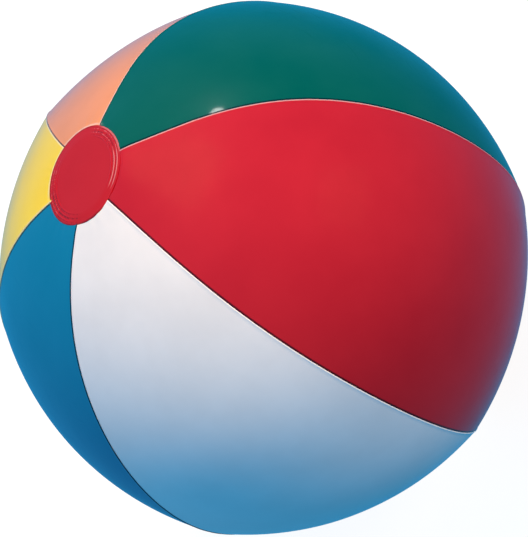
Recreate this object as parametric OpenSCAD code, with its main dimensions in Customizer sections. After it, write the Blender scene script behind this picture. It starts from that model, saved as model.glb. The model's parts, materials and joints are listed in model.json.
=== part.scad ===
// Inflatable beach ball, blown up: six coloured panels welded along their edges, a round disc
// welded over each pole, and a soft air valve pushed down into its rest place in one panel.
// +Z runs along the polar axis through both discs, and the origin is the ball's centre.
// The red panel faces -Y, and the valve is in the yellow panel, which faces +Y.
// Each panel is a patch of a torus: a full arc from pole to pole, and a flatter one across.

/* [Ball] */
// Diameter of the blown-up ball, measured across the middles of two facing panels
ball_d = 360; // [300:10:420]
// How far behind the polar axis each panel's round cross-section is centred; 0 makes a true ball
flattening = 50; // [10:5:60]
// Thickness of the vinyl film
film_t = 0.3; // [0.2:0.05:0.4]
// Diameter of the small hole that the cut panel tips leave at each pole, under the disc
tip_hole_d = 16; // [10:1:24]

/* [Seams] */
// Width of the strip where a panel laps over its neighbour
lap_w = 2.5; // [2:0.5:4]
// Width of the thickened strip along the lapping panel's own edge
weld_w = 1; // [0.5:0.5:2]

/* [End discs] */
// Diameter of the disc welded over each pole
disc_d = 68; // [60:2:76]
// Diameter of the disc's flat middle
disc_flat_d = 50; // [40:2:54]
// Height of the disc's flat face above the panels at the pole
disc_rise = 0.7; // [0.5:0.1:1]
// Thickness of the disc at its rim
disc_rim_t = 0.7; // [0.5:0.1:0.8]
// Number of weld rings pressed up near the rim
ring_count = 3; // [2:1:3]
// Distance from one weld ring to the next
ring_pitch = 2.6; // [2.2:0.1:2.8]

/* [Valve] */
// Angle of the valve above the ball's equator
valve_lat = 30; // [20:1:38]
// Diameter of the hole in the panel that the valve sits in
valve_hole_d = 22; // [21:0.5:24]
// Diameter of the welded flange under the panel
flange_d = 34; // [30:1:40]
// Thickness of the flange
flange_t = 0.7; // [0.5:0.1:1]
// Diameter of the well inside the flange
well_d = 20.4; // [20:0.2:20.8]
// Depth of the well that the valve rests in
well_depth = 7; // [6.5:0.5:8]
// Thickness of the flexible skirt
skirt_t = 0.6; // [0.4:0.1:0.8]
// Outer diameter of the stem
stem_d = 9.2; // [9:0.1:10]
// Diameter of the stem's air passage
bore_d = 6.1; // [5.9:0.1:6.3]
// Length of the stem inside the ball, below the skirt
stem_tail = 7; // [5:0.5:9]
// Distance from the stem's axis to the middle of the strap's bend, where the plug swings
swing_r = 8; // [7.8:0.1:8.2]
// Depth of the plug in the stem
plug_depth = 5; // [4:0.5:5.5]
// Diameter of the plug's cap
cap_d = 11.2; // [10.6:0.2:11.4]
// Width of the strap and of the lugs that it joins
strap_w = 4; // [3:0.5:5]

/* [Hidden] */
$fn = 96;

panel_count = 6;
panel_step = 360 / panel_count;
red_angle = -90;
ball_r = ball_d / 2;
// A size larger than anything in the ball, for cutting
reach = ball_d;
// Gap round a lap, and the gap between pieces that move against each other
weld_gap = 0.02;
gap = 0.1;

disc_r = disc_d / 2;
disc_flat_r = disc_flat_d / 2;
// The disc's slope falls from its flat face to its rim, which sits on the seams there
seat_gap = 0.05;
disc_face_z = ball_r + disc_rise;
seam_drop = ball_r - seam_height(disc_r);
rim_z = ball_r - seam_drop + seat_gap + disc_rim_t;
// The disc's underside is an arc that just clears the seams from the pole to the rim
seat_r = (disc_r * disc_r + seam_drop * seam_drop) / (2 * seam_drop);
ring_w = 0.9;
ring_h = 0.35;
ring_inset = 2.5;

// Heights in the valve's own frame, where Z is the valve's axis and 0 is the ball's centre
film_under = ball_r - film_t;
well_top = film_under - 0.3;
well_floor = ball_r - well_depth;
rim_top = ball_r - 1;
stem_end = well_floor - stem_tail;
cap_under = rim_top + gap;
cap_t = 1.4;
lip_t = 0.8;
bead_t = 0.7;
flap_t = 0.7;
flap_d = stem_d - 0.4;
plug_r = bore_d / 2 - 0.05;
well_r = well_d / 2;
lug_end = 6.2;
lug_t = 0.8;
tab_end = 7.6;
// The strap bends round this height, half way between the stem's lug and the cap's lug
strap_t = 0.8;
strap_low = rim_top - lug_t;
strap_high = cap_under + cap_t - 0.1;
bend_r = (strap_high - strap_low) / 2;
swing_z = strap_low + bend_r;
// The flap's hinge is a round edge just outside the stem
flap_hinge_r = stem_d / 2 + 0.2;

// Height of the panels at a seam, at a distance from the polar axis
function seam_height(r) =
    let (half = panel_step / 2)
    let (from_centre = norm([r * cos(half) + flattening, r * sin(half)]) - flattening)
    sqrt(ball_r * ball_r - from_centre * from_centre);

// Half of a film cross-section, from pole to pole, between two arc radii
module film_profile(outer_r, inner_r) {
    intersection() {
        translate([flattening, 0])
            difference() {
                circle(outer_r);
                circle(inner_r);
            }
        translate([flattening, -reach])
            square([reach, 2 * reach]);
    }
}

// A film whose arc from pole to pole has its middle on +X, between two radii
module film(outer_r, inner_r) {
    translate([-flattening, 0, 0])
        rotate_extrude(angle = 360)
            film_profile(outer_r, inner_r);
}

// The slice of space that one panel fills, with its middle on +X, just clear of the panel before it
module panel_slice() {
    half = panel_step / 2;
    first_edge = [reach * cos(half), -reach * sin(half)];
    second_edge = [reach * cos(half), reach * sin(half)];
    start = second_edge * weld_gap / (reach * sin(panel_step));
    translate([0, 0, -reach])
        linear_extrude(2 * reach)
            polygon([start, start + first_edge, second_edge]);
}

// A flat slab that stands on the seam plane, from the disc's rim outwards
module seam_slab(from_y, to_y) {
    rotate(panel_step / 2)
        translate([disc_r, from_y, -reach])
            cube([reach, to_y - from_y, 2 * reach]);
}

// The raised strip where a panel laps over the next one
module lap() {
    intersection() {
        film(ball_r + film_t, ball_r - film_t / 2);
        seam_slab(-weld_w, 0);
    }
    intersection() {
        rotate(panel_step)
            film(ball_r + film_t, ball_r + weld_gap);
        seam_slab(0, lap_w);
    }
}

// One panel with its middle on +X
module plain_panel() {
    difference() {
        union() {
            intersection() {
                film(ball_r, ball_r - film_t);
                panel_slice();
            }
            lap();
        }
        cylinder(h = 2 * reach, r = tip_hole_d / 2, center = true);
    }
}

// The panel a number of places round from the red one
module panel(place) {
    rotate(red_angle + place * panel_step)
        plain_panel();
}

// Moves a shape made on Z to the valve's axis
module at_valve() {
    rotate([valve_lat - 90, 0, 0])
        children();
}

module red_panel() {
    color([0.83, 0.14, 0.2])
        panel(0);
}

module green_panel() {
    color([0, 0.42, 0.33])
        panel(1);
}

module orange_panel() {
    color([0.9, 0.58, 0.42])
        panel(2);
}

// The valve's panel has a round hole for it
module yellow_panel() {
    color([0.97, 0.83, 0.28])
        difference() {
            panel(3);
            at_valve()
                cylinder(h = reach, r = valve_hole_d / 2);
        }
}

module blue_panel() {
    color([0, 0.45, 0.7])
        panel(4);
}

module white_panel() {
    color([0.95, 0.95, 0.95])
        panel(5);
}

// A round disc with a flat face, a sloping edge and raised weld rings, made about +Z
module end_disc() {
    slope = (disc_face_z - rim_z) / (disc_r - disc_flat_r);
    rotate_extrude()
        difference() {
            union() {
                polygon([[0, rim_z - 2], [disc_r, rim_z - 2], [disc_r, rim_z],
                         [disc_flat_r, disc_face_z], [0, disc_face_z]]);
                for (i = [0 : ring_count - 1]) {
                    r = disc_r - ring_inset - i * ring_pitch;
                    z = rim_z + (disc_r - r) * slope;
                    translate([r - ring_w / 2, z - ring_h])
                        square([ring_w, 2 * ring_h]);
                }
            }
            translate([0, ball_r + seat_gap - seat_r])
                circle(seat_r, $fn = 720);
        }
}

module top_end_disc() {
    color([0.79, 0.12, 0.2])
        end_disc();
}

module bottom_end_disc() {
    color([0.79, 0.12, 0.2])
        mirror([0, 0, 1])
            end_disc();
}

// The welded ring under the panel, curved with it
module valve_flange() {
    color([0.9, 0.92, 0.93])
        intersection() {
            rotate(red_angle + 3 * panel_step)
                film(film_under, film_under - flange_t);
            at_valve()
                difference() {
                    cylinder(h = reach, r = flange_d / 2);
                    cylinder(h = 3 * reach, r = well_r, center = true);
                }
        }
}

// The thin well between flange and stem, which turns inside out when the stem is pulled
module valve_skirt() {
    color([0.88, 0.9, 0.92])
        at_valve()
            rotate_extrude()
                difference() {
                    translate([stem_d / 2 + gap, well_floor])
                        square([well_r - stem_d / 2 - gap, well_top - well_floor]);
                    translate([0, well_floor + skirt_t])
                        square([well_r - skirt_t, reach]);
                }
}

// The tube, with a lip at its mouth, a bead under the skirt and a lug for the strap
module valve_stem() {
    color([0.92, 0.93, 0.94])
        at_valve()
            difference() {
                union() {
                    translate([0, 0, stem_end])
                        cylinder(h = rim_top - stem_end, r = stem_d / 2);
                    translate([0, 0, rim_top - lip_t])
                        cylinder(h = lip_t, r = stem_d / 2 + 0.6);
                    translate([0, 0, well_floor - gap - bead_t])
                        cylinder(h = bead_t, r = stem_d / 2 + 0.8);
                    translate([-strap_w / 2, -lug_end, rim_top - lug_t])
                        cube([strap_w, lug_end - bore_d / 2 - 0.5, lug_t]);
                }
                translate([0, 0, stem_end - 1])
                    cylinder(h = reach, r = bore_d / 2);
            }
}

// The disc that closes the stem's inner end until air is blown in, with a round hinge edge
module check_flap() {
    color([0.85, 0.87, 0.9])
        at_valve()
            translate([0, 0, stem_end - gap - flap_t / 2]) {
                cylinder(h = flap_t, r = flap_d / 2, center = true);
                translate([-strap_w / 2, -flap_hinge_r, -flap_t / 2])
                    cube([strap_w, flap_hinge_r, flap_t]);
                translate([-strap_w / 2, -flap_hinge_r, 0])
                    rotate([0, 90, 0])
                        cylinder(h = strap_w, r = flap_t / 2);
            }
}

// The tether: out from the stem's lug, round a bend, and back to the cap's lug
module plug_strap() {
    run = swing_r - lug_end - gap;
    color([0.92, 0.93, 0.94])
        at_valve()
            translate([-strap_w / 2, -swing_r, swing_z])
                rotate([90, 0, 90])
                    linear_extrude(strap_w)
                        difference() {
                            union() {
                                circle(bend_r);
                                translate([0, -bend_r])
                                    square([run, 2 * bend_r]);
                            }
                            circle(bend_r - strap_t);
                            translate([0, strap_t - bend_r])
                                square([reach, 2 * (bend_r - strap_t)]);
                        }
}

// The plug and its cap. The plug's side is an arc about the strap's bend, so that it swings clear
module valve_plug() {
    swing_rise = swing_z - cap_under;
    arc_r = norm([swing_r + plug_r, swing_rise]);
    color([0.92, 0.93, 0.94])
        at_valve()
            translate([0, 0, cap_under]) {
                rotate_extrude()
                    intersection() {
                        translate([-swing_r, swing_rise])
                            circle(arc_r);
                        translate([0, -plug_depth])
                            square([arc_r, plug_depth + cap_t / 2]);
                    }
                cylinder(h = cap_t, r = cap_d / 2);
                translate([-strap_w / 2, -lug_end, cap_t - 0.1 - lug_t])
                    cube([strap_w, lug_end, lug_t]);
                translate([-strap_w / 2, 0, cap_t - 0.1 - lug_t])
                    cube([strap_w, tab_end, lug_t]);
            }
}

green_panel();
red_panel();
white_panel();
blue_panel();
yellow_panel();
orange_panel();
top_end_disc();
bottom_end_disc();
valve_flange();
valve_skirt();
valve_stem();
check_flap();
plug_strap();
valve_plug();
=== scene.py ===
"""Inflatable beach ball: the finished skin, end discs and air valve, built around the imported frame.

Everything is in metres in the frame's own axes: +Z runs through the two end discs, the red panel
faces -Y and the valve looks out of the yellow panel on the +Y side.
"""

import json
import math

import bmesh
import bpy
import numpy as np
from mathutils import Matrix, Vector


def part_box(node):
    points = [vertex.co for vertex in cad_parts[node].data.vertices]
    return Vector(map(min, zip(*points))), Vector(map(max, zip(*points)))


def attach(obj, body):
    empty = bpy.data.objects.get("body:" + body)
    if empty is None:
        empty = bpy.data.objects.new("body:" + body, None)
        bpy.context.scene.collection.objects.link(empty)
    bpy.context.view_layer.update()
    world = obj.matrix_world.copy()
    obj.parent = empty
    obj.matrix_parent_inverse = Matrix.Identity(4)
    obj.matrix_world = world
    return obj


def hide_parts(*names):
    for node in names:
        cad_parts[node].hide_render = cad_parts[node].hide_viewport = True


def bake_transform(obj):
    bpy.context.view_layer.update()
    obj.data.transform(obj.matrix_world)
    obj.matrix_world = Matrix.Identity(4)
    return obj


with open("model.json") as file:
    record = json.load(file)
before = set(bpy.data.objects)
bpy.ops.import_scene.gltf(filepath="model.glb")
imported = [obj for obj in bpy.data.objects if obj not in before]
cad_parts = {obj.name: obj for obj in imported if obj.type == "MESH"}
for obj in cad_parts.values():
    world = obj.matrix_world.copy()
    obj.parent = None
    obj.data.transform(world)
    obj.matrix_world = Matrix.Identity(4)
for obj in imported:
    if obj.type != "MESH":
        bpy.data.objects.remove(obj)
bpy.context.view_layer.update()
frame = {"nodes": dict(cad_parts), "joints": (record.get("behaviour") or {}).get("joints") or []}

MM = 0.001

# ---------------------------------------------------------------- sizes taken from the frame

BALL_R = -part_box("red_panel")[0].y
DISC_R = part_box("top_end_disc")[1].x
DISC_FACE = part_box("top_end_disc")[1].z
FLOOR_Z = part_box("bottom_end_disc")[0].z

JOINTS = {joint["name"]: joint for joint in frame["joints"]}
VALVE_AXIS = Vector(JOINTS["stem_slide"]["axis"]).normalized()
PLUG_PIVOT = Vector(JOINTS["plug_swing"]["pos_m"])
FLAP_PIVOT = Vector(JOINTS["flap_hinge"]["pos_m"])

# Local frame of the valve: Z is its axis, X is the world's X, and the ball's centre is its origin
VALVE_X = Vector((1, 0, 0))
VALVE_Y = VALVE_AXIS.cross(VALVE_X)
VALVE_TO_BALL = Matrix((VALVE_X, VALVE_Y, VALVE_AXIS)).transposed().to_4x4()

# ---------------------------------------------------------------- shape of the skin

PANEL_STEP = math.radians(60)
FLATTENING = 39 * MM
FILM_T = 0.35 * MM
# Radius at which the panels' cut tips end, under the disc
TIP_R = 26 * MM
ROWS = 230
# A panel's width along its curve, over the straight line between its seams
ARC_OVER_CHORD = 1.015

# How far each panel's thin welded edge shows over its neighbour, and the shape of that edge
LAP_W = 0.75 * MM
LAP_T = 0.12 * MM
BEAD_H = 0.22 * MM
BEAD_W = 0.4 * MM

# The film rises to the flat disc's rim and settles back on the ball further out
RIM_LIFT = 2.5 * MM
RIM_LIFT_W = 20 * MM
# The upper disc sits a little askew, higher towards this azimuth
DISC_TILT = math.radians(4.8)
DISC_HIGH_SIDE = math.radians(-47)

# A blown-up ball is never quite even, and its seams don't meet exactly under the disc's middle.
# Each seam is drawn aside beside the upper disc, sways sideways, most at the equator, leans, one way
# above the equator and the other way below it, and snakes a little. All these are in degrees. A seam
# shows as a pale line on the lighter of the two panels, partly thinned film and partly painted
# highlight, and as a line of painted shade on the other.
SEAM_COLUMNS = ("azimuth", "aside", "sway", "lean", "snake", "pale_lap")
SEAMS = {name: dict(zip(SEAM_COLUMNS, row)) for name, row in {
    "orange_green": (0, -8.2, 1.4, 2.2, 2.2, False),
    "yellow_orange": (60, -5.3, -0.8, -0.4, 0.2, False),
    "blue_yellow": (120, 0.8, 1.9, 1.6, -0.8, True),
    "white_blue": (180, 6.0, -2.6, 3.0, -1.3, False),
    "red_white": (240, -0.6, -1.1, -0.5, -0.5, True),
    "green_red": (300, -3.3, 2.0, 0.2, 2.2, True),
}.items()}
# How far below the disc's rim a seam is still drawn aside, as an angle from the pole
ASIDE_FADE = 0.2

# Each panel runs from one seam to the next in the direction of rising azimuth
PANELS = {
    "red": ("red_white", "green_red"),
    "green": ("green_red", "orange_green"),
    "orange": ("orange_green", "yellow_orange"),
    "yellow": ("yellow_orange", "blue_yellow"),
    "blue": ("blue_yellow", "white_blue"),
    "white": ("white_blue", "red_white"),
}

# Radius of the hole that the valve sits in, and of the rings of the weld round it
VALVE_HOLE_R = 11 * MM
VALVE_WELD_RADII = (12.6 * MM, 14.4 * MM, 16.2 * MM)


def seam_azimuth(seam, polar):
    """Azimuth of a seam, in radians, at angles down from the upper pole."""
    data = SEAMS[seam]
    rim = math.asin(DISC_R / BALL_R)
    aside = data["aside"] * np.exp(-(polar - rim) / ASIDE_FADE) * math.sin(rim) / np.sin(polar)
    sway = data["sway"] * np.sin(polar) + data["lean"] * np.sin(2 * polar)
    sway = sway + data["snake"] * np.sin(3 * polar)
    return np.radians(data["azimuth"] + aside + sway)


def panel_radius(height, local):
    """Distance of a panel from the polar axis at a height, at an angle from the panel's middle."""
    arc = np.sqrt(np.maximum(BALL_R ** 2 - height ** 2, 0))
    reach_out = np.sqrt((arc + FLATTENING) ** 2 - (FLATTENING * np.sin(local)) ** 2)
    return -FLATTENING * np.cos(local) + reach_out


def skin_point(panel, polar, across):
    """Point of a panel's plain surface. across runs from 0 at its first seam to 1 at its second."""
    first, second = PANELS[panel]
    start = seam_azimuth(first, polar)
    end = seam_azimuth(second, polar)
    end = np.where(end < start, end + 2 * math.pi, end)
    azimuth = start + across * (end - start)
    height = BALL_R * np.cos(polar)
    radius = panel_radius(height, (across - 0.5) * PANEL_STEP)
    return np.stack([radius * np.cos(azimuth), radius * np.sin(azimuth), height], -1)


def skin_normal(panel, polar, across):
    """Outward unit normal of the plain surface, from small steps along it."""
    step = 1e-4
    down = skin_point(panel, polar + step, across) - skin_point(panel, polar - step, across)
    along = skin_point(panel, polar, across + step) - skin_point(panel, polar, across - step)
    normal = np.cross(down, along)
    return normal / np.linalg.norm(normal, axis=-1, keepdims=True)


def smooth(value):
    """Soft step from 0 to 1 as the value goes from 0 to 1."""
    value = np.clip(value, 0, 1)
    return value * value * (3 - 2 * value)


def bump(value, width):
    """1 at zero, falling away softly over the width on both sides."""
    return np.exp(-(value / width) ** 2)


def unevenness(point):
    """Low, wide waves in the blown-up film, in metres along its normal. They die out by the discs."""
    settled = smooth((np.hypot(point[..., 0], point[..., 1]) - DISC_R) / (14 * MM))
    x, y, z = (point[..., k] / BALL_R for k in range(3))
    wide = np.sin(4.1 * x + 2.3 * z + 0.7) * np.sin(3.7 * y - 2.9 * z + 1.9)
    close = np.sin(9.3 * x - 6.1 * y + 1.3) * np.sin(8.7 * z + 5.3 * y + 0.4)
    return (0.22 * wide + 0.05 * close) * settled * MM


def askew(x, y):
    """Height that the upper disc's tilt adds at a place on it."""
    return math.tan(DISC_TILT) * (x * math.cos(DISC_HIGH_SIDE) + y * math.sin(DISC_HIGH_SIDE))


def rim_rise(point):
    """Height that the film gains near the end discs. It drops again under a disc."""
    radius = np.hypot(point[..., 0], point[..., 1])
    out = np.maximum(radius - DISC_R, 0) / RIM_LIFT_W
    under = np.clip((DISC_R - radius) / (9 * MM), 0, 1)
    near_pole = np.abs(point[..., 2]) > 0.5 * BALL_R
    tilt = askew(point[..., 0], point[..., 1]) * DISC_R / np.maximum(radius, DISC_R)
    at_rim = RIM_LIFT + tilt * (point[..., 2] > 0)
    drop = 3.2 * MM * smooth((DISC_R - 1 * MM - radius) / (4 * MM))
    return (at_rim * np.exp(-out ** 1.5) * (1 - under) - drop) * near_pole


def past_rim(point):
    """0 under the end discs, where the welded edges are pressed flat, and 1 outside them."""
    radius = np.hypot(point[..., 0], point[..., 1])
    return smooth((radius - DISC_R + 1.8 * MM) / (1.6 * MM))


def puckers(point, seam_distance, polar):
    """Small gathers that run out from the discs' rims and away from the welded seams."""
    radius = np.hypot(point[..., 0], point[..., 1])
    azimuth = np.arctan2(point[..., 1], point[..., 0])
    out = np.maximum(radius - DISC_R, 0)
    near_pole = np.abs(point[..., 2]) > 0.5 * BALL_R
    uneven = 0.55 + 0.45 * np.sin(5 * azimuth + 0.8)
    gathers = np.sin(33 * azimuth + 2 * np.sin(4 * azimuth))
    disc = 0.13 * gathers * uneven * np.exp(-out / (9 * MM)) * near_pole
    arc = polar * BALL_R / MM
    ripple = np.sin(arc / 3.1 + 2.2 * np.sin(arc / 23)) * (0.6 + 0.4 * np.sin(arc / 41 + 1))
    seam = 0.035 * ripple * np.exp(-np.abs(seam_distance) / (5 * MM)) * np.minimum(out / (8 * MM), 1)
    return (disc + seam) * MM


def valve_weld(point):
    """Rings pressed into the film where the valve's flange is welded under it."""
    axis = np.array(VALVE_AXIS)
    along = point @ axis
    from_axis = np.linalg.norm(point - along[..., None] * axis, axis=-1)
    rings = sum(bump(from_axis - radius, 0.45 * MM) for radius in VALVE_WELD_RADII)
    pad = smooth((18.5 * MM - from_axis) / (2 * MM))
    return np.where(along > 0, (0.16 * rings + 0.08 * pad) * MM, 0)


def covered_edge(distance):
    """Outer face of the film under and beside its neighbour's lap, by distance from the seam."""
    under = -0.03 * MM * smooth((LAP_W + 0.2 * MM - distance) / (0.3 * MM))
    groove = -0.14 * MM * bump(distance - LAP_W - 0.35 * MM, 0.35 * MM)
    return under + groove


def lapping_edge(distance):
    """Outer face of the film near its own lap. distance is below 0 before the seam, above 0 past it."""
    step = LAP_T * smooth((distance + 2.2 * MM) / (2 * MM))
    return step + BEAD_H * bump(distance - 0.2 * MM, BEAD_W)


def lap_mark(distance):
    """How strongly the lap's edge line shows, from 0 to 1, by distance past the seam. It is pale and
    partly painted highlight, or it is painted shade, as the seam's pale_lap says.
    """
    return smooth((distance + 0.3 * MM) / (0.3 * MM))


def covered_mark(distance, pale):
    """How strongly the line beside a lap shows on the covered film, by distance from the seam. It is
    painted shade, or pale and partly painted highlight, opposite to the lap's own line.
    """
    shown = 1.15 * MM if pale else 1.45 * MM
    return smooth((LAP_W + shown - distance) / (0.3 * MM))


def rim_painted_highlight(point):
    """How strongly the painted highlight beside a disc shows as a pale line, round the orange and
    yellow tips, on the side towards the light.
    """
    radius = np.hypot(point[..., 0], point[..., 1])
    off = np.abs(np.arctan2(point[..., 1], point[..., 0]) - math.radians(55))
    shown = smooth((math.radians(68) - off) / math.radians(14))
    return bump(radius - DISC_R - 1.1 * MM, 0.75 * MM) * shown


def row_angles(panel):
    """Angles down from the upper pole, closer together by the discs and, on yellow, by the valve."""
    first = math.asin(TIP_R / BALL_R)
    even = np.linspace(first, math.pi - first, ROWS)
    rim = math.asin(DISC_R / BALL_R)
    close = np.concatenate([
        np.linspace(rim - 0.012, rim + 0.07, 16),
        np.linspace(rim, rim + 0.012, 9),
    ])
    angles = [even, close, math.pi - close]
    if panel == "yellow":
        valve = math.acos(VALVE_AXIS.z)
        angles.append(np.linspace(valve - 0.115, valve + 0.115, 90))
    angles = np.sort(np.concatenate(angles))
    keep = np.concatenate([[True], np.diff(angles) > 0.0012])
    return angles[keep]


def middle_columns(panel, width):
    """Distances from the first seam to the points between the two welded edges, for each row."""
    margin = 10 * MM
    count = 26
    share = np.linspace(0, 1, count)[1:-1]
    if panel == "yellow":
        # Even steps of about a millimetre across the valve, wider ones on both sides
        reach = 21 * MM
        near = np.linspace(-reach, reach, 48)
        side = np.linspace(0, 1, 13)[1:-1]
        narrow = np.minimum(1, (width - 2 * margin) / (2 * reach) * 0.7)[:, None]
        centre = (width / 2)[:, None]
        left = margin + side * (centre - reach * narrow - margin)
        right = centre + reach * narrow + side * (centre - reach * narrow - margin)
        return np.concatenate([left, centre + near * narrow, right], 1)
    return margin + share * (width - 2 * margin)[:, None]


# Distances of the mesh's columns from the covered edge, from the seam and past it under the lap
EDGE_STEPS = np.array([
    0, 0.4, 0.7, 0.9, 1.0, 1.15, 1.3, 1.45, 1.6, 1.75, 2.0, 2.4, 3.0, 4.0, 5.4, 7.4, 10,
]) * MM
NEAR_SEAM_STEPS = np.array([
    10, 7.4, 5.4, 4.0, 3.0, 2.3, 1.8, 1.5, 1.2, 1.0, 0.8, 0.6, 0.45, 0.3, 0.15, 0,
]) * MM
LAP_STEPS = np.array([0.12, 0.25, 0.38, 0.5, 0.6, 0.7, 0.76, 0.8, 0.83]) * MM


def panel_mesh(panel):
    """A closed shell: the panel's film with its covered edge, and its own lap over the next panel."""
    following = next(name for name in PANELS if PANELS[name][0] == PANELS[panel][1])
    polar = row_angles(panel)
    rows = len(polar)
    start = skin_point(panel, polar, 0.0)
    end = skin_point(panel, polar, 1.0)
    width = np.linalg.norm(end - start, axis=-1) * ARC_OVER_CHORD
    next_end = skin_point(following, polar, 1.0)
    next_width = np.linalg.norm(next_end - end, axis=-1) * ARC_OVER_CHORD
    pressed = past_rim(start)[:, None]
    first_pale, second_pale = (SEAMS[seam]["pale_lap"] for seam in PANELS[panel])

    def face(distance, height, lap_share=0.0, covered_share=0.0):
        """Points of this panel, by distance from its first seam, raised by height."""
        turn = np.broadcast_to(polar[:, None], distance.shape)
        across = distance / width[:, None]
        point = skin_point(panel, turn, across)
        normal = skin_normal(panel, turn, across)
        seam_distance = np.minimum(distance, width[:, None] - distance)
        rise = height + unevenness(point) + puckers(point, seam_distance, turn)
        if panel == "yellow":
            rise = rise + valve_weld(point)
        return placed(point, normal, rise, lap_share, covered_share)

    def lap_face(distance, height, lap_share=0.0):
        """Points of this panel's lap, by distance past its second seam."""
        turn = np.broadcast_to(polar[:, None], distance.shape)
        across = distance / next_width[:, None]
        point = skin_point(following, turn, across)
        normal = skin_normal(following, turn, across)
        rise = height + unevenness(point) + puckers(point, distance, turn)
        return placed(point, normal, rise, lap_share, 0.0)

    def placed(point, normal, rise, lap_share, covered_share):
        """Raised points, with their pale seam marks, partly painted highlight, and their marks of
        painted shade.
        """
        lifted = point + normal * rise[..., None]
        lifted[..., 2] += np.sign(lifted[..., 2]) * rim_rise(point)
        lap_share = np.broadcast_to(lap_share, rise.shape)
        covered_share = np.broadcast_to(covered_share, rise.shape)
        nothing = np.zeros(rise.shape)
        pale = (lap_share if second_pale else nothing) + (nothing if first_pale else covered_share)
        # The pale line beside the discs is a painted highlight
        pale = np.maximum(pale, rim_painted_highlight(point))
        dark = (nothing if second_pale else lap_share) + (covered_share if first_pale else nothing)
        return lifted, pale, dark

    ones = np.ones((rows, 1))
    first = EDGE_STEPS * ones
    middle = middle_columns(panel, width)
    last = width[:, None] - NEAR_SEAM_STEPS * ones
    lap = LAP_STEPS * ones
    before = last - width[:, None]
    lap_top = lapping_edge(lap) * smooth((LAP_W + 0.03 * MM - lap) / (0.16 * MM))
    parts = [
        face(first, covered_edge(first) * pressed, covered_share=covered_mark(first, not first_pale)),
        face(middle, np.zeros_like(middle)),
        face(last, lapping_edge(before) * pressed, lap_share=lap_mark(before)),
        lap_face(lap, lap_top * pressed, lap_share=1.0),
    ]
    # Back along the inside
    back_lap = lap[:, ::-2]
    back_last = last[:, ::-4]
    back_middle = middle[:, ::-1]
    back_first = first[:, ::-4]
    parts += [
        lap_face(back_lap, np.full_like(back_lap, -0.01 * MM)),
        face(back_last, np.full_like(back_last, -FILM_T)),
        face(back_middle, np.full_like(back_middle, -FILM_T)),
        face(back_first, np.full_like(back_first, -FILM_T)),
    ]
    points = np.concatenate([part[0] for part in parts], 1)
    ring = points.shape[1]
    index = np.arange(rows * ring).reshape(rows, ring)
    following_column = np.roll(index, -1, axis=1)
    quads = np.stack([index[:-1], index[1:], following_column[1:], following_column[:-1]], -1)
    faces = quads.reshape(-1, 4).tolist()
    faces.append(index[0].tolist())
    faces.append(index[-1][::-1].tolist())
    mesh = bpy.data.meshes.new(f"{panel}_skin")
    mesh.from_pydata(points.reshape(-1, 3).tolist(), [], faces)
    # Pale lines, partly painted highlight, and lines of painted shade along the welds
    for name, column in (("weld_pale_and_painted_highlight", 1), ("painted_weld_shade", 2)):
        shares = np.concatenate([part[column] for part in parts], 1)
        add_mark(mesh, name, shares.reshape(-1))
    return mesh


# ---------------------------------------------------------------- small helpers for meshes


def add_mark(mesh, name, shares):
    """Stores how strongly a painted line shows at each vertex, for the vinyl material: a pale line with
    painted highlight, or a line of painted shade.
    """
    mark = mesh.attributes.new(name, "FLOAT", "POINT")
    mark.data.foreach_set("value", np.asarray(shares, np.float32))


def add_object(name, mesh):
    """Links a mesh to the scene, with its faces turned outwards and shaded smooth."""
    work = bmesh.new()
    work.from_mesh(mesh)
    bmesh.ops.remove_doubles(work, verts=work.verts, dist=1e-7)
    bmesh.ops.recalc_face_normals(work, faces=work.faces)
    work.to_mesh(mesh)
    work.free()
    mesh.polygons.foreach_set("use_smooth", [True] * len(mesh.polygons))
    mesh.update()
    piece = bpy.data.objects.new(name, mesh)
    bpy.context.collection.objects.link(piece)
    return piece


def apply_modifiers(piece):
    """Bakes a piece's modifiers into its mesh."""
    bpy.context.view_layer.update()
    graph = bpy.context.evaluated_depsgraph_get()
    mesh = bpy.data.meshes.new_from_object(piece.evaluated_get(graph))
    piece.modifiers.clear()
    piece.data = mesh
    return piece


def revolved(name, profile, segments, wobble=None):
    """A solid of revolution about Z from a closed outline of (radius, height) pairs."""
    outline = np.array(profile, float)
    turn = np.linspace(0, 2 * math.pi, segments, endpoint=False)
    radius = np.broadcast_to(outline[:, 0], (segments, len(outline)))
    height = np.broadcast_to(outline[:, 1], (segments, len(outline)))
    if wobble is not None:
        radius, height = wobble(radius, height, turn[:, None])
    points = np.stack([radius * np.cos(turn)[:, None], radius * np.sin(turn)[:, None], height], -1)
    count = len(outline)
    index = np.arange(segments * count).reshape(segments, count)
    beside = np.roll(index, -1, axis=0)
    above = np.roll(index, -1, axis=1)
    corner = np.roll(beside, -1, axis=1)
    quads = np.stack([index, beside, corner, above], -1).reshape(-1, 4)
    mesh = bpy.data.meshes.new(name)
    mesh.from_pydata(points.reshape(-1, 3).tolist(), [], quads.tolist())
    work = bmesh.new()
    work.from_mesh(mesh)
    bmesh.ops.remove_doubles(work, verts=work.verts, dist=1e-7)
    bmesh.ops.dissolve_degenerate(work, edges=work.edges, dist=1e-7)
    work.to_mesh(mesh)
    work.free()
    return mesh


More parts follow.
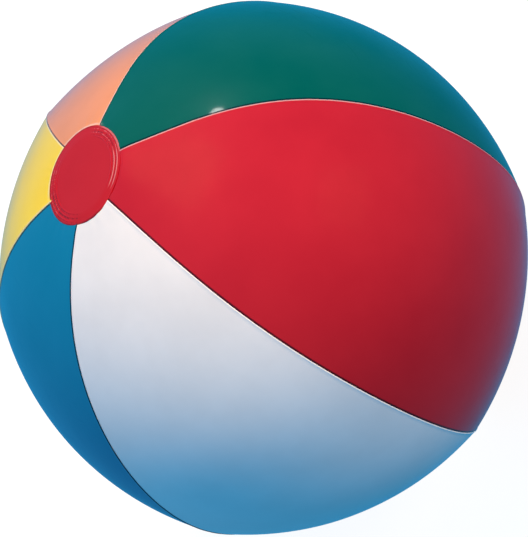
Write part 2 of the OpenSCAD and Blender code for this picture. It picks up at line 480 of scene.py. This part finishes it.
def rounded_outline(corners, steps=5):
    """A closed outline from (radius, height, corner radius) rows, with each corner turned as an arc."""
    points = []
    count = len(corners)
    for k in range(count):
        here = np.array(corners[k][:2])
        before = np.array(corners[k - 1][:2])
        after = np.array(corners[(k + 1) % count][:2])
        size = corners[k][2]
        if size <= 0:
            points.append(here)
            continue
        to_before = (before - here) / np.linalg.norm(before - here)
        to_after = (after - here) / np.linalg.norm(after - here)
        half = math.acos(float(np.clip(to_before @ to_after, -1, 1))) / 2
        run = size / math.tan(half)
        run = min(run, np.linalg.norm(before - here) / 2, np.linalg.norm(after - here) / 2)
        a = here + to_before * run
        b = here + to_after * run
        for t in np.linspace(0, 1, steps + 1):
            points.append((1 - t) ** 2 * a + 2 * t * (1 - t) * here + t ** 2 * b)
    return [(float(p[0]), float(p[1])) for p in points]


def at_valve(piece):
    """Moves a piece made in the valve's own frame to its place on the ball."""
    piece.data.transform(VALVE_TO_BALL)
    piece.data.update()
    return piece


def in_valve_frame(point):
    """A point of the ball's frame in the valve's own frame."""
    return VALVE_TO_BALL.inverted() @ point


def box_mesh(name, low, high, bevel):
    """A block with rounded edges, in the valve's own frame."""
    mesh = bpy.data.meshes.new(name)
    work = bmesh.new()
    bmesh.ops.create_cube(work, size=1)
    low, high = Vector(low), Vector(high)
    for vert in work.verts:
        share = vert.co + Vector((0.5, 0.5, 0.5))
        vert.co = Vector(low[k] + share[k] * (high[k] - low[k]) for k in range(3))
    bmesh.ops.bevel(work, geom=work.edges[:], offset=bevel, segments=3, profile=0.5, affect="EDGES")
    work.to_mesh(mesh)
    work.free()
    return mesh


def joined(name, meshes):
    """One mesh from several closed ones."""
    work = bmesh.new()
    for mesh in meshes:
        work.from_mesh(mesh)
    result = bpy.data.meshes.new(name)
    work.to_mesh(result)
    work.free()
    return result


# ---------------------------------------------------------------- materials


def new_material(name):
    """An empty material with one shader, joined to its output."""
    material = bpy.data.materials.new(name)
    material.use_nodes = True
    tree = material.node_tree
    tree.nodes.clear()
    output = tree.nodes.new("ShaderNodeOutputMaterial")
    shader = tree.nodes.new("ShaderNodeBsdfPrincipled")
    tree.links.new(shader.outputs["BSDF"], output.inputs["Surface"])
    return material, tree, shader


def noise(tree, coordinate, scale, detail=3.0, roughness=0.5):
    """A noise pattern's strength at each place."""
    node = tree.nodes.new("ShaderNodeTexNoise")
    node.inputs["Scale"].default_value = scale
    node.inputs["Detail"].default_value = detail
    node.inputs["Roughness"].default_value = roughness
    tree.links.new(coordinate, node.inputs["Vector"])
    return node.outputs["Fac"]


def ranged(tree, value, low, high, to_low, to_high):
    """A value's share of one range, carried over to another and held inside it."""
    node = tree.nodes.new("ShaderNodeMapRange")
    node.inputs["From Min"].default_value = low
    node.inputs["From Max"].default_value = high
    node.inputs["To Min"].default_value = to_low
    node.inputs["To Max"].default_value = to_high
    tree.links.new(value, node.inputs["Value"])
    return node.outputs["Result"]


def math_node(tree, operation, first, second):
    """A sum, a product or the like of two values, each a number or another node's output."""
    node = tree.nodes.new("ShaderNodeMath")
    node.operation = operation
    for socket, value in zip(node.inputs, (first, second)):
        if isinstance(value, (int, float)):
            socket.default_value = value
        else:
            tree.links.new(value, socket)
    return node.outputs[0]


def mixed(tree, amount, first, second):
    """A mix of two colours, each given or another node's output."""
    node = tree.nodes.new("ShaderNodeMix")
    node.data_type = "RGBA"
    sockets = [s for s in node.inputs if s.type == "RGBA"]
    for socket, value in zip(sockets, (first, second)):
        if isinstance(value, (tuple, list)):
            socket.default_value = (*value[:3], 1)
        else:
            tree.links.new(value, socket)
    tree.links.new(amount, node.inputs[0])
    return next(s for s in node.outputs if s.type == "RGBA")


VINYL_IOR = 1.5
# Height of the fine relief on the film and on the valve
PEEL_H = 0.12 * MM
MOULDING_H = 0.08 * MM


def vinyl(name, colour, roughness=0.3, coat=0.42):
    """Glossy plasticised film: faint cloudiness, dull handling marks, fine scuffs, and welds marked
    with pale lines that are partly painted highlight and with lines of painted shade.
    """
    material, tree, shader = new_material(name)
    coordinate = tree.nodes.new("ShaderNodeTexCoord").outputs["Object"]
    cloud = noise(tree, coordinate, 14, 4, 0.55)
    fine = noise(tree, coordinate, 95, 3, 0.6)
    grain = noise(tree, coordinate, 900, 2, 0.5)

    # Colour: a little deeper and paler in soft clouds
    deep = tuple(c * 0.93 for c in colour)
    pale = tuple(min(1.0, c * 1.04 + 0.004) for c in colour)
    body = mixed(tree, ranged(tree, cloud, 0.3, 0.7, 0, 1), deep, pale)
    # Paler where a weld squeezes the film thin, and brighter still as a painted highlight on the weld
    # beads, the disc rings and beside the discs; darker as painted shade in the grooves beside the
    # welds, between the disc rings and round the discs' edges
    pale_and_highlight_tint = tuple(0.5 * c + 0.46 for c in colour)
    groove_shade_tint = tuple(c * 0.12 for c in colour)
    for attribute, share, tint in (("weld_pale_and_painted_highlight", 0.75, pale_and_highlight_tint), ("painted_weld_shade", 0.95, groove_shade_tint)):
        mark = tree.nodes.new("ShaderNodeAttribute")
        mark.attribute_name = attribute
        body = mixed(tree, ranged(tree, mark.outputs["Fac"], 0, 1, 0, share), body, tint)
    tree.links.new(body, shader.inputs["Base Color"])

    # Gloss: broad handling marks and thin scuffs are duller
    marks = ranged(tree, noise(tree, coordinate, 22, 5, 0.62), 0.45, 0.75, 0.0, 0.1)
    stretch = tree.nodes.new("ShaderNodeMapping")
    stretch.inputs["Scale"].default_value = (30, 30, 420)
    stretch.inputs["Rotation"].default_value = (0.7, 0.5, 0.3)
    tree.links.new(coordinate, stretch.inputs["Vector"])
    scuff = ranged(tree, noise(tree, stretch.outputs["Vector"], 1.0, 2, 0.5), 0.66, 0.78, 0.0, 0.12)
    gloss = math_node(tree, "ADD", math_node(tree, "ADD", marks, scuff), roughness)
    tree.links.new(gloss, shader.inputs["Roughness"])

    # Relief: soft orange peel with a fine grain
    relief = tree.nodes.new("ShaderNodeBump")
    relief.inputs["Strength"].default_value = 0.35
    relief.inputs["Distance"].default_value = PEEL_H
    peel = math_node(tree, "MULTIPLY", fine, 0.8)
    height = math_node(tree, "ADD", peel, math_node(tree, "MULTIPLY", grain, 0.12))
    tree.links.new(height, relief.inputs["Height"])
    tree.links.new(relief.outputs["Normal"], shader.inputs["Normal"])
    shader.inputs["IOR"].default_value = VINYL_IOR
    shader.inputs["Specular IOR Level"].default_value = 0.12
    shader.inputs["Coat Weight"].default_value = coat
    shader.inputs["Coat Roughness"].default_value = 0.07
    return material


def clear_vinyl(name):
    """Milky, slightly see-through soft moulding, used for the valve."""
    material, tree, shader = new_material(name)
    coordinate = tree.nodes.new("ShaderNodeTexCoord").outputs["Object"]
    cloud = noise(tree, coordinate, 160, 3, 0.5)
    body = mixed(tree, ranged(tree, cloud, 0.3, 0.7, 0, 1), (0.78, 0.76, 0.7), (0.9, 0.88, 0.82))
    tree.links.new(body, shader.inputs["Base Color"])
    gloss = ranged(tree, noise(tree, coordinate, 420, 3, 0.6), 0.3, 0.8, 0.22, 0.36)
    tree.links.new(gloss, shader.inputs["Roughness"])
    relief = tree.nodes.new("ShaderNodeBump")
    relief.inputs["Strength"].default_value = 0.3
    relief.inputs["Distance"].default_value = MOULDING_H
    tree.links.new(noise(tree, coordinate, 700, 2, 0.5), relief.inputs["Height"])
    tree.links.new(relief.outputs["Normal"], shader.inputs["Normal"])
    shader.inputs["Subsurface Weight"].default_value = 0.35
    shader.inputs["Subsurface Radius"].default_value = (0.002, 0.002, 0.002)
    shader.inputs["Subsurface Scale"].default_value = 1.0
    shader.inputs["IOR"].default_value = VINYL_IOR
    return material


VINYL_COLOURS = {
    "red": (0.505, 0.0075, 0.016),
    "green": (0.0, 0.1, 0.07),
    "orange": (0.8, 0.3, 0.105),
    "yellow": (1.0, 0.73, 0.01),
    "blue": (0.0, 0.215, 0.4),
    "white": (0.88, 0.915, 0.93),
}
DISC_COLOUR = (0.525, 0.0012, 0.005)


# ---------------------------------------------------------------- camera, floor and light

# Viewing direction: turn from -Y, height above the equator, roll, and distance in ball radii
CAMERA_TURN = math.radians(-17.7)
CAMERA_HEIGHT = math.radians(43.22)
CAMERA_ROLL = math.radians(-62.56)
CAMERA_DISTANCE = 11.19 * BALL_R
LENS_MM = 196.0


def camera_axes():
    """The picture's right, up and towards-the-camera directions."""
    back = Vector((
        math.sin(CAMERA_TURN) * math.cos(CAMERA_HEIGHT),
        -math.cos(CAMERA_TURN) * math.cos(CAMERA_HEIGHT),
        math.sin(CAMERA_HEIGHT),
    ))
    level = Vector((0, 0, 1)).cross(back).normalized()
    upright = back.cross(level)
    right = level * math.cos(CAMERA_ROLL) + upright * math.sin(CAMERA_ROLL)
    up = -level * math.sin(CAMERA_ROLL) + upright * math.cos(CAMERA_ROLL)
    return right, up, back


PICTURE_RIGHT, PICTURE_UP, TOWARDS_CAMERA = camera_axes()


def add_camera():
    """A long lens, far away, as the picture's even outline asks for."""
    data = bpy.data.cameras.new("camera")
    data.lens = LENS_MM
    data.sensor_width = 36
    data.clip_end = 50
    camera = bpy.data.objects.new("camera", data)
    camera.matrix_world = Matrix((PICTURE_RIGHT, PICTURE_UP, TOWARDS_CAMERA)).transposed().to_4x4()
    camera.location = TOWARDS_CAMERA * CAMERA_DISTANCE
    bpy.context.collection.objects.link(camera)
    bpy.context.scene.camera = camera


# The floor keeps this far below the disc that rests on it
FLOOR_GAP = 0.2 * MM
FLOOR_HALF = 8.0


def add_floor():
    """A wide pale floor that the lower end disc rests on."""
    mesh = bpy.data.meshes.new("floor")
    corners = [(x * FLOOR_HALF, y * FLOOR_HALF, 0) for x, y in ((-1, -1), (1, -1), (1, 1), (-1, 1))]
    mesh.from_pydata(corners, [], [(0, 1, 2, 3)])
    floor = bpy.data.objects.new("floor", mesh)
    floor.location.z = FLOOR_Z - FLOOR_GAP
    bpy.context.collection.objects.link(floor)
    material, _tree, shader = new_material("pale_floor")
    shader.inputs["Base Color"].default_value = (0.22, 0.22, 0.22, 1)
    shader.inputs["Roughness"].default_value = 1.0
    shader.inputs["Specular IOR Level"].default_value = 0.0
    shader.inputs["Emission Color"].default_value = (1, 1, 1, 1)
    shader.inputs["Emission Strength"].default_value = 0.9
    mesh.materials.append(material)
    floor.visible_diffuse = False
    floor.visible_glossy = False
    floor.visible_shadow = False


def in_picture(right, up, towards):
    """A world direction from its parts along the picture's axes."""
    return (PICTURE_RIGHT * right + PICTURE_UP * up + TOWARDS_CAMERA * towards).normalized()


# The lamps' distance from the ball's centre, the wide ones' side, and their colour
LAMP_DISTANCE = 2.5
LAMP_SIZE = 0.9
WARM = (1.0, 0.59, 0.25)


def area_light(name, direction, size, power, colour):
    """A square soft light that faces the ball's centre."""
    data = bpy.data.lights.new(name, "AREA")
    data.size = size
    data.energy = power
    data.color = colour
    light = bpy.data.objects.new(name, data)
    light.location = direction * LAMP_DISTANCE
    light.rotation_euler = direction.to_track_quat("Z", "Y").to_euler()
    bpy.context.collection.objects.link(light)
    return light


def add_lights():
    """Warm soft lights, and one small lamp that shows only as a reflection."""
    for name, direction, power in (
        ("key", in_picture(-0.47, 0.61, 0.64), 57),
        ("fill", in_picture(0.52, 0.45, 0.73), 42),
        # For the sides that the camera doesn't see
        ("back", in_picture(0.0, 0.0, -1.0), 38),
        ("side", in_picture(-0.87, 0.45, -0.2), 5),
    ):
        area_light(name, direction, LAMP_SIZE, power, WARM).visible_glossy = False
    spark = area_light("spark", in_picture(-0.3, 0.93, 0.22), 0.2, 2.6, (1.0, 0.97, 0.93))
    spark.data.shape = "DISK"
    spark.visible_diffuse = False


# The glow from the picture's top and bottom, and from behind the valve's side
GLOW_TOP = (0.0, 0.5, 1.05)
GLOW_BOTTOM = (0.055, 0.235, 0.41)
GLOW_BEHIND = (0.45, 0.42, 0.45)


def facing(tree, where, direction):
    """How far each world direction points along a given one, from -1 to 1."""
    node = tree.nodes.new("ShaderNodeVectorMath")
    node.operation = "DOT_PRODUCT"
    node.inputs[1].default_value = direction
    tree.links.new(where.outputs["Generated"], node.inputs[0])
    return node.outputs["Value"]


def add_world():
    """A blue surrounding glow, as under an open sky, and plain white behind the floor's edge."""
    world = bpy.data.worlds.new("world")
    bpy.context.scene.world = world
    world.use_nodes = True
    tree = world.node_tree
    tree.nodes.clear()
    output = tree.nodes.new("ShaderNodeOutputWorld")
    glow = tree.nodes.new("ShaderNodeBackground")
    plain = tree.nodes.new("ShaderNodeBackground")
    mix = tree.nodes.new("ShaderNodeMixShader")
    rays = tree.nodes.new("ShaderNodeLightPath")
    where = tree.nodes.new("ShaderNodeTexCoord")
    downward = facing(tree, where, -PICTURE_UP)
    sky = mixed(tree, ranged(tree, downward, -1.0, 1.0, 0.0, 1.0), GLOW_TOP, GLOW_BOTTOM)
    # Plainer light from behind the valve's side
    behind = facing(tree, where, in_picture(-0.75, 0.25, -0.6))
    near = ranged(tree, behind, 0.35, 0.95, 0.0, 1.0)
    plainer = math_node(tree, "MULTIPLY", near, rays.outputs["Is Diffuse Ray"])
    tree.links.new(mixed(tree, plainer, sky, GLOW_BEHIND), glow.inputs["Color"])
    evenly = ranged(tree, facing(tree, where, PICTURE_RIGHT), -1.0, 1.0, 1.14, 0.68)
    # What the glossy film mirrors is darker low in the picture than the light that falls on it
    low = ranged(tree, downward, 0.0, 0.8, 0.0, 0.15)
    mirrored = math_node(tree, "MULTIPLY", low, rays.outputs["Is Glossy Ray"])
    strength = math_node(tree, "MULTIPLY", evenly, math_node(tree, "SUBTRACT", 1, mirrored))
    tree.links.new(strength, glow.inputs["Strength"])
    plain.inputs["Color"].default_value = (1, 1, 1, 1)
    plain.inputs["Strength"].default_value = 1.0
    tree.links.new(rays.outputs["Is Camera Ray"], mix.inputs["Fac"])
    tree.links.new(glow.outputs["Background"], mix.inputs[1])
    tree.links.new(plain.outputs["Background"], mix.inputs[2])
    tree.links.new(mix.outputs["Shader"], output.inputs["Surface"])
    bpy.context.scene.view_settings.view_transform = "Standard"


# ---------------------------------------------------------------- the skin


def make_panels():
    """Six panels, each a closed shell of film with its weld over the next one."""
    for panel in PANELS:
        piece = add_object(f"{panel}_skin", panel_mesh(panel))
        piece.data.materials.append(vinyl(f"{panel}_vinyl_film", VINYL_COLOURS[panel]))
        if panel == "yellow":
            cut_valve_hole(piece)
        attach(piece, "ball")
        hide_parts(f"{panel}_panel")


def cut_valve_hole(piece):
    """Opens the round hole in the film that the valve sits in."""
    low, high = BALL_R - 8 * MM, BALL_R + 5 * MM
    outline = [(0, low), (VALVE_HOLE_R, low), (VALVE_HOLE_R, high), (0, high)]
    cutter = revolved("valve_hole_cutter", outline, WIDE_STEPS)
    cutter = at_valve(add_object("valve_hole_cutter", cutter))
    modifier = piece.modifiers.new("hole", "BOOLEAN")
    modifier.operation = "DIFFERENCE"
    modifier.solver = "EXACT"
    modifier.object = cutter
    apply_modifiers(piece)
    piece.data.set_sharp_from_angle(angle=math.radians(40))
    bpy.data.objects.remove(cutter)


def disc_outline():
    """Outline of an end disc: flat middle, a slightly lower rim, and a rounded edge on the film."""
    face = DISC_FACE - 0.35 * MM
    rim = face - 0.5 * MM
    flat_r = DISC_R - 8 * MM
    top = [(0.0, face)]
    for radius in np.linspace(4 * MM, flat_r - 2.5 * MM, 8):
        top.append((radius, face))
    for radius in np.arange(flat_r - 2 * MM, DISC_R - 0.5 * MM, 0.15 * MM):
        share = float(smooth((radius - flat_r) / (DISC_R - flat_r)))
        top.append((float(radius), face + share * (rim - face)))
    corner = 0.45 * MM
    for angle in np.linspace(80, 0, 7):
        turn = math.radians(float(angle))
        top.append((DISC_R - corner + corner * math.cos(turn), rim - corner + corner * math.sin(turn)))
    bottom = [
        (DISC_R, rim - 1.3 * MM),
        (DISC_R - 6 * MM, rim - 1.3 * MM),
        (flat_r - 3 * MM, face - 1.2 * MM),
        (0.0, face - 0.8 * MM),
    ]
    return top + bottom


RING_RADII = (DISC_R - 2.5 * MM, DISC_R - 5.1 * MM, DISC_R - 7.7 * MM)


def disc_relief(radius, height, turn):
    """Weld rings of uneven depth, a slightly uneven edge and a barely wavy face."""
    # The rings are pressed in most on two opposite sides
    depth = smooth(0.45 + 0.75 * np.cos(2 * (turn + math.radians(52))))
    on_top = height > DISC_FACE - 2.2 * MM
    rings = 0
    for k, ring in enumerate(RING_RADII):
        strength = 0.26 + 0.08 * np.sin(turn * (3 + k) + 1.7 * k)
        groove = 0.16 * bump(radius - ring - 0.75 * MM, 0.3 * MM)
        rings = rings + strength * bump(radius - ring, 0.34 * MM) - groove
    ticks = 0.06 * np.sin(turn * 110 + 3 * np.sin(turn * 7))
    ticks = ticks * bump(radius - RING_RADII[1], 3.0 * MM) * depth
    waves = 0.08 * np.sin(2 * turn + 0.4) * (radius / DISC_R) ** 2
    waves = waves + 0.04 * np.sin(3 * turn + 1.9) * (radius / DISC_R)
    lift = (rings * (0.04 + 0.96 * depth) + ticks + waves) * MM * on_top
    edge = 0.12 * MM * np.sin(5 * turn + 1) * (radius > DISC_R - 1 * MM)
    return radius + edge, height + lift


def upper_disc_relief(radius, height, turn):
    """The same, on the disc that sits askew."""
    radius, height = disc_relief(radius, height, turn)
    return radius, height + askew(radius * np.cos(turn), radius * np.sin(turn))


def paint_disc_glints_and_shade(mesh):
    """Painted glints on the deep rings' crests, short dashes of painted shade in the grooves between
    them, and the edge's thin line: a painted highlight on the lit side and, elsewhere, a dark line that
    is partly the weld's own edge and partly painted shade.
    """
    place = np.array([vertex.co for vertex in mesh.vertices])
    radius = np.hypot(place[:, 0], place[:, 1])
    turn = np.arctan2(place[:, 1], place[:, 0])
    on_top = place[:, 2] > DISC_FACE - 6 * MM

    def around(middle, half):
        """1 within so many degrees of a direction round the disc, and softly 0 beyond."""
        off = np.abs((turn - math.radians(middle) + math.pi) % (2 * math.pi) - math.pi)
        return smooth((math.radians(half) - off) / math.radians(14))

    crests = sum(bump(radius - ring, 0.3 * MM) for ring in RING_RADII[:2])
    spots = smooth(0.5 + 1.6 * np.sin(turn * 47 + 4 * np.sin(turn * 11)) * np.sin(turn * 23 + 1))
    edge = smooth((radius - DISC_R + 1.35 * MM) / (0.3 * MM))
    between = bump(radius - DISC_R + 4.4 * MM, 3.2 * MM)
    # Painted glints on the ring crests, strong on the side towards the light and in spots on two other
    # sides, and a painted highlight along the edge on one side
    pale = 0.9 * crests * around(-80, 30) + 0.35 * crests * spots * (around(-25, 34) + around(110, 44))
    pale = pale + 0.4 * edge * around(-35, 32)
    # Painted shade: dashes in the grooves between the rings, and the dark edge line away from the
    # light, which is partly the weld's own line
    dashes = np.maximum(np.sin(radius / (0.42 * MM)), 0) * between * (1 - spots)
    dark = 0.35 * edge * around(115, 118) + dashes * (0.8 * around(153, 44) + 0.6 * around(-25, 34))
    add_mark(mesh, "weld_pale_and_painted_highlight", np.clip(pale, 0, 1) * on_top)
    add_mark(mesh, "painted_weld_shade", np.clip(dark, 0, 1) * on_top)


def make_discs():
    """The two round patches over the panels' tips."""
    for node, relief in (("top_end_disc", upper_disc_relief), ("bottom_end_disc", disc_relief)):
        piece = add_object(f"{node}_cap", revolved(node, disc_outline(), 720, relief))
        paint_disc_glints_and_shade(piece.data)
        if node == "bottom_end_disc":
            piece.data.transform(Matrix.Rotation(math.pi, 4, "X"))
            piece.data.update()
        piece.data.materials.append(vinyl(f"{node}_vinyl", DISC_COLOUR, roughness=0.34, coat=0.3))
        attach(piece, "ball")
        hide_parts(node)


# ---------------------------------------------------------------- the valve


def make_valve():
    """The six pieces of the valve, all of one soft moulding."""
    material = clear_vinyl("valve_moulding")
    make_flange(material)
    make_skirt(material)
    make_stem(material)
    make_flap(material)
    make_plug(material)
    make_strap(material)


def reach(node):
    """Lowest and highest place of a CAD node along the valve's axis."""
    along = [Vector(v.co).dot(VALVE_AXIS) for v in frame["nodes"][node].data.vertices]
    return min(along), max(along)


# Steps round the valve's wider pieces and its narrower ones
WIDE_STEPS = 96
NARROW_STEPS = 72

STEM_R = 4.6 * MM
BORE_R = 3.05 * MM
WELL_R = 10.2 * MM
FLANGE_R = 17 * MM
CAP_R = 5.6 * MM
CAP_T = 1.4 * MM
PLUG_R = 3.0 * MM
STRAP_W = 4 * MM
STRAP_T = 0.8 * MM
# Ends of the two lugs that the strap joins, and of the cap's tab on the other side
LUG_END = -6.2 * MM
TAB_END = 7.6 * MM


def make_flange(material):
    """The welded ring under the film, thin and curved with it."""
    top = BALL_R - FILM_T - 0.15 * MM
    outline = []
    for radius in np.linspace(WELL_R - 0.2 * MM, FLANGE_R, 12):
        outline.append((radius, math.sqrt(top ** 2 - radius ** 2) - 0.1 * MM))
    for radius in np.linspace(FLANGE_R, WELL_R - 0.2 * MM, 12):
        outline.append((radius, math.sqrt((top - 0.7 * MM) ** 2 - radius ** 2) - 0.1 * MM))
    piece = at_valve(add_object("valve_flange_ring", revolved("valve_flange", outline, WIDE_STEPS)))
    piece.data.materials.append(material)
    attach(piece, "ball")
    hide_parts("valve_flange")


def make_skirt(material):
    """The flexible well, which turns inside out as the stem comes out."""
    floor, _ = reach("valve_skirt")
    top = BALL_R - 0.75 * MM
    wall = 0.6 * MM
    inner = STEM_R - 0.1 * MM
    outline = rounded_outline([
        (WELL_R, top, 0.1 * MM),
        (WELL_R, floor, 2.2 * MM),
        (inner, floor, 0.0),
        (inner, floor + wall, 0.0),
        (WELL_R - wall, floor + wall, 1.6 * MM),
        (WELL_R - wall, top, 0.1 * MM),
    ], 8)
    outline = spaced(outline, 0.35 * MM)
    piece = at_valve(add_object("valve_skirt_wall", revolved("valve_skirt", outline, WIDE_STEPS)))
    piece.data.materials.append(material)
    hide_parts("valve_skirt")
    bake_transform(piece)


def spaced(outline, step):
    """Adds points along an outline's long sides."""
    points = []
    for a, b in zip(outline, outline[1:] + outline[:1]):
        a, b = np.array(a), np.array(b)
        count = max(1, int(np.linalg.norm(b - a) / step))
        for k in range(count):
            points.append(tuple(a + (b - a) * k / count))
    return points


def make_stem(material):
    """The air tube, with a rolled lip, a bead under the skirt and the strap's lug."""
    end, rim = reach("valve_stem")
    floor, _ = reach("valve_skirt")
    outline = rounded_outline([
        (BORE_R, rim, 0.25 * MM),
        (BORE_R, end, 0.2 * MM),
        (STEM_R, end, 0.3 * MM),
        (STEM_R, floor - 0.9 * MM, 0.2 * MM),
        (STEM_R + 0.8 * MM, floor - 0.8 * MM, 0.25 * MM),
        (STEM_R + 0.8 * MM, floor - 0.1 * MM, 0.2 * MM),
        (STEM_R, floor + 0.1 * MM, 0.1 * MM),
        (STEM_R, rim - 1.2 * MM, 0.3 * MM),
        (STEM_R + 0.6 * MM, rim - 0.8 * MM, 0.3 * MM),
        (STEM_R + 0.6 * MM, rim, 0.3 * MM),
    ])
    tube = revolved("stem_tube", outline, NARROW_STEPS)
    lug = box_mesh(
        "stem_lug",
        (-STRAP_W / 2, LUG_END, rim - STRAP_T),
        (STRAP_W / 2, -STEM_R - 0.1 * MM, rim - 0.02 * MM),
        0.15 * MM,
    )
    piece = at_valve(add_object("valve_stem_tube", joined("stem", [tube, lug])))
    piece.data.materials.append(material)
    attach(piece, "stem")
    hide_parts("valve_stem")


def make_flap(material):
    """The thin disc that closes the stem's inner end, with a rib round its edge and a hinge strip."""
    low, high = reach("check_flap")
    radius = 4.4 * MM
    outline = rounded_outline([
        (0.0, high, 0.0),
        (radius - 0.9 * MM, high, 0.1 * MM),
        (radius - 0.7 * MM, high - 0.1 * MM, 0.1 * MM),
        (radius, high - 0.1 * MM, 0.15 * MM),
        (radius, low, 0.2 * MM),
        (radius - 1 * MM, low, 0.1 * MM),
        (radius - 1.2 * MM, low + 0.2 * MM, 0.1 * MM),
        (0.0, low + 0.2 * MM, 0.0),
    ])
    disc = revolved("check_flap", outline, NARROW_STEPS)
    hinge = in_valve_frame(FLAP_PIVOT)
    half = 2 * MM
    strip = box_mesh(
        "flap_strip",
        (-half, hinge.y, low + 0.06 * MM),
        (half, -radius + 0.7 * MM, high - 0.06 * MM),
        0.08 * MM,
    )
    roll_r = 0.34 * MM
    roll = revolved("flap_roll", [(0, -half), (roll_r, -half), (roll_r, half), (0, half)], 20)
    roll.transform(Matrix.Translation(hinge) @ Matrix.Rotation(math.pi / 2, 4, "Y"))
    piece = at_valve(add_object("check_flap_disc", joined("flap", [disc, strip, roll])))
    piece.data.materials.append(material)
    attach(piece, "flap")
    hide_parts("check_flap")


def make_plug(material):
    """The plug: an arc-sided stopper, a dished cap, the strap's lug and a fingernail tab."""
    pivot = in_valve_frame(PLUG_PIVOT)
    _, top = reach("valve_plug")
    base = top - CAP_T
    rise = pivot.z - base
    swing = -pivot.y
    arc = math.hypot(swing + PLUG_R, rise)
    depth = 5 * MM
    outline = [(0.0, base - depth)]
    for level in np.linspace(depth, 0, 14):
        outline.append((math.sqrt(arc ** 2 - (level + rise) ** 2) - swing - 0.02 * MM, base - level))
    outline[1] = (outline[1][0] - 0.15 * MM, outline[1][1])
    outline += rounded_outline([
        (CAP_R, base, 0.3 * MM),
        (CAP_R, top, 0.45 * MM),
        (CAP_R - 1.3 * MM, top, 0.2 * MM),
        (CAP_R - 1.7 * MM, top - 0.3 * MM, 0.2 * MM),
    ])
    outline.append((0.0, top - 0.3 * MM))
    stopper = revolved("plug_body", outline, NARROW_STEPS)
    half = STRAP_W / 2
    under, over = top - 0.9 * MM, top - 0.1 * MM
    lug = box_mesh("plug_lug", (-half, LUG_END, under), (half, -CAP_R + 0.6 * MM, over), 0.15 * MM)
    tab = box_mesh("plug_tab", (-half, CAP_R - 0.6 * MM, under), (half, TAB_END, over), 0.25 * MM)
    piece = at_valve(add_object("valve_plug_cap", joined("plug", [stopper, lug, tab])))
    piece.data.materials.append(material)
    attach(piece, "plug")
    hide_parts("valve_plug")


def make_strap(material):
    """The tether: a flat band from the stem's lug round a bend to the cap's lug."""
    pivot = in_valve_frame(PLUG_PIVOT)
    low = reach("valve_stem")[1] - STRAP_T / 2
    bend = pivot.z - low
    high = pivot.z + bend
    centre_y = pivot.y
    start_y = -5.9 * MM
    path = []
    for y in np.linspace(start_y, centre_y, 8):
        path.append((y, low))
    for angle in np.linspace(0, math.pi, 15)[1:-1]:
        path.append((centre_y - bend * math.sin(angle), low + bend * (1 - math.cos(angle))))
    for y in np.linspace(centre_y, start_y, 8):
        path.append((y, high))
    path = np.array(path)
    tangent = np.gradient(path, axis=0)
    tangent /= np.linalg.norm(tangent, axis=1, keepdims=True)
    across = np.stack([-tangent[:, 1], tangent[:, 0]], 1)
    half_w = STRAP_W / 2 - 0.15 * MM
    half_t = STRAP_T / 2 - 0.03 * MM
    corners = ((-half_w, -half_t), (half_w, -half_t), (half_w, half_t), (-half_w, half_t))
    section = rounded_outline([(*corner, 0.2 * MM) for corner in corners], 3)
    points = []
    for (y, z), normal in zip(path, across):
        for x, out in section:
            points.append((x, y + normal[0] * out, z + normal[1] * out))
    ring = len(section)
    faces = []
    for row in range(len(path) - 1):
        for column in range(ring):
            here = row * ring + column
            beside = row * ring + (column + 1) % ring
            faces.append((here, beside, beside + ring, here + ring))
    faces.append(tuple(range(ring)))
    faces.append(tuple((len(path) - 1) * ring + k for k in reversed(range(ring))))
    mesh = bpy.data.meshes.new("strap")
    mesh.from_pydata(points, [], faces)
    piece = at_valve(add_object("plug_strap_band", mesh))
    piece.data.materials.append(material)
    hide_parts("plug_strap")
    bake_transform(piece)


add_camera()
add_floor()
add_lights()
add_world()
make_panels()
make_discs()
make_valve()
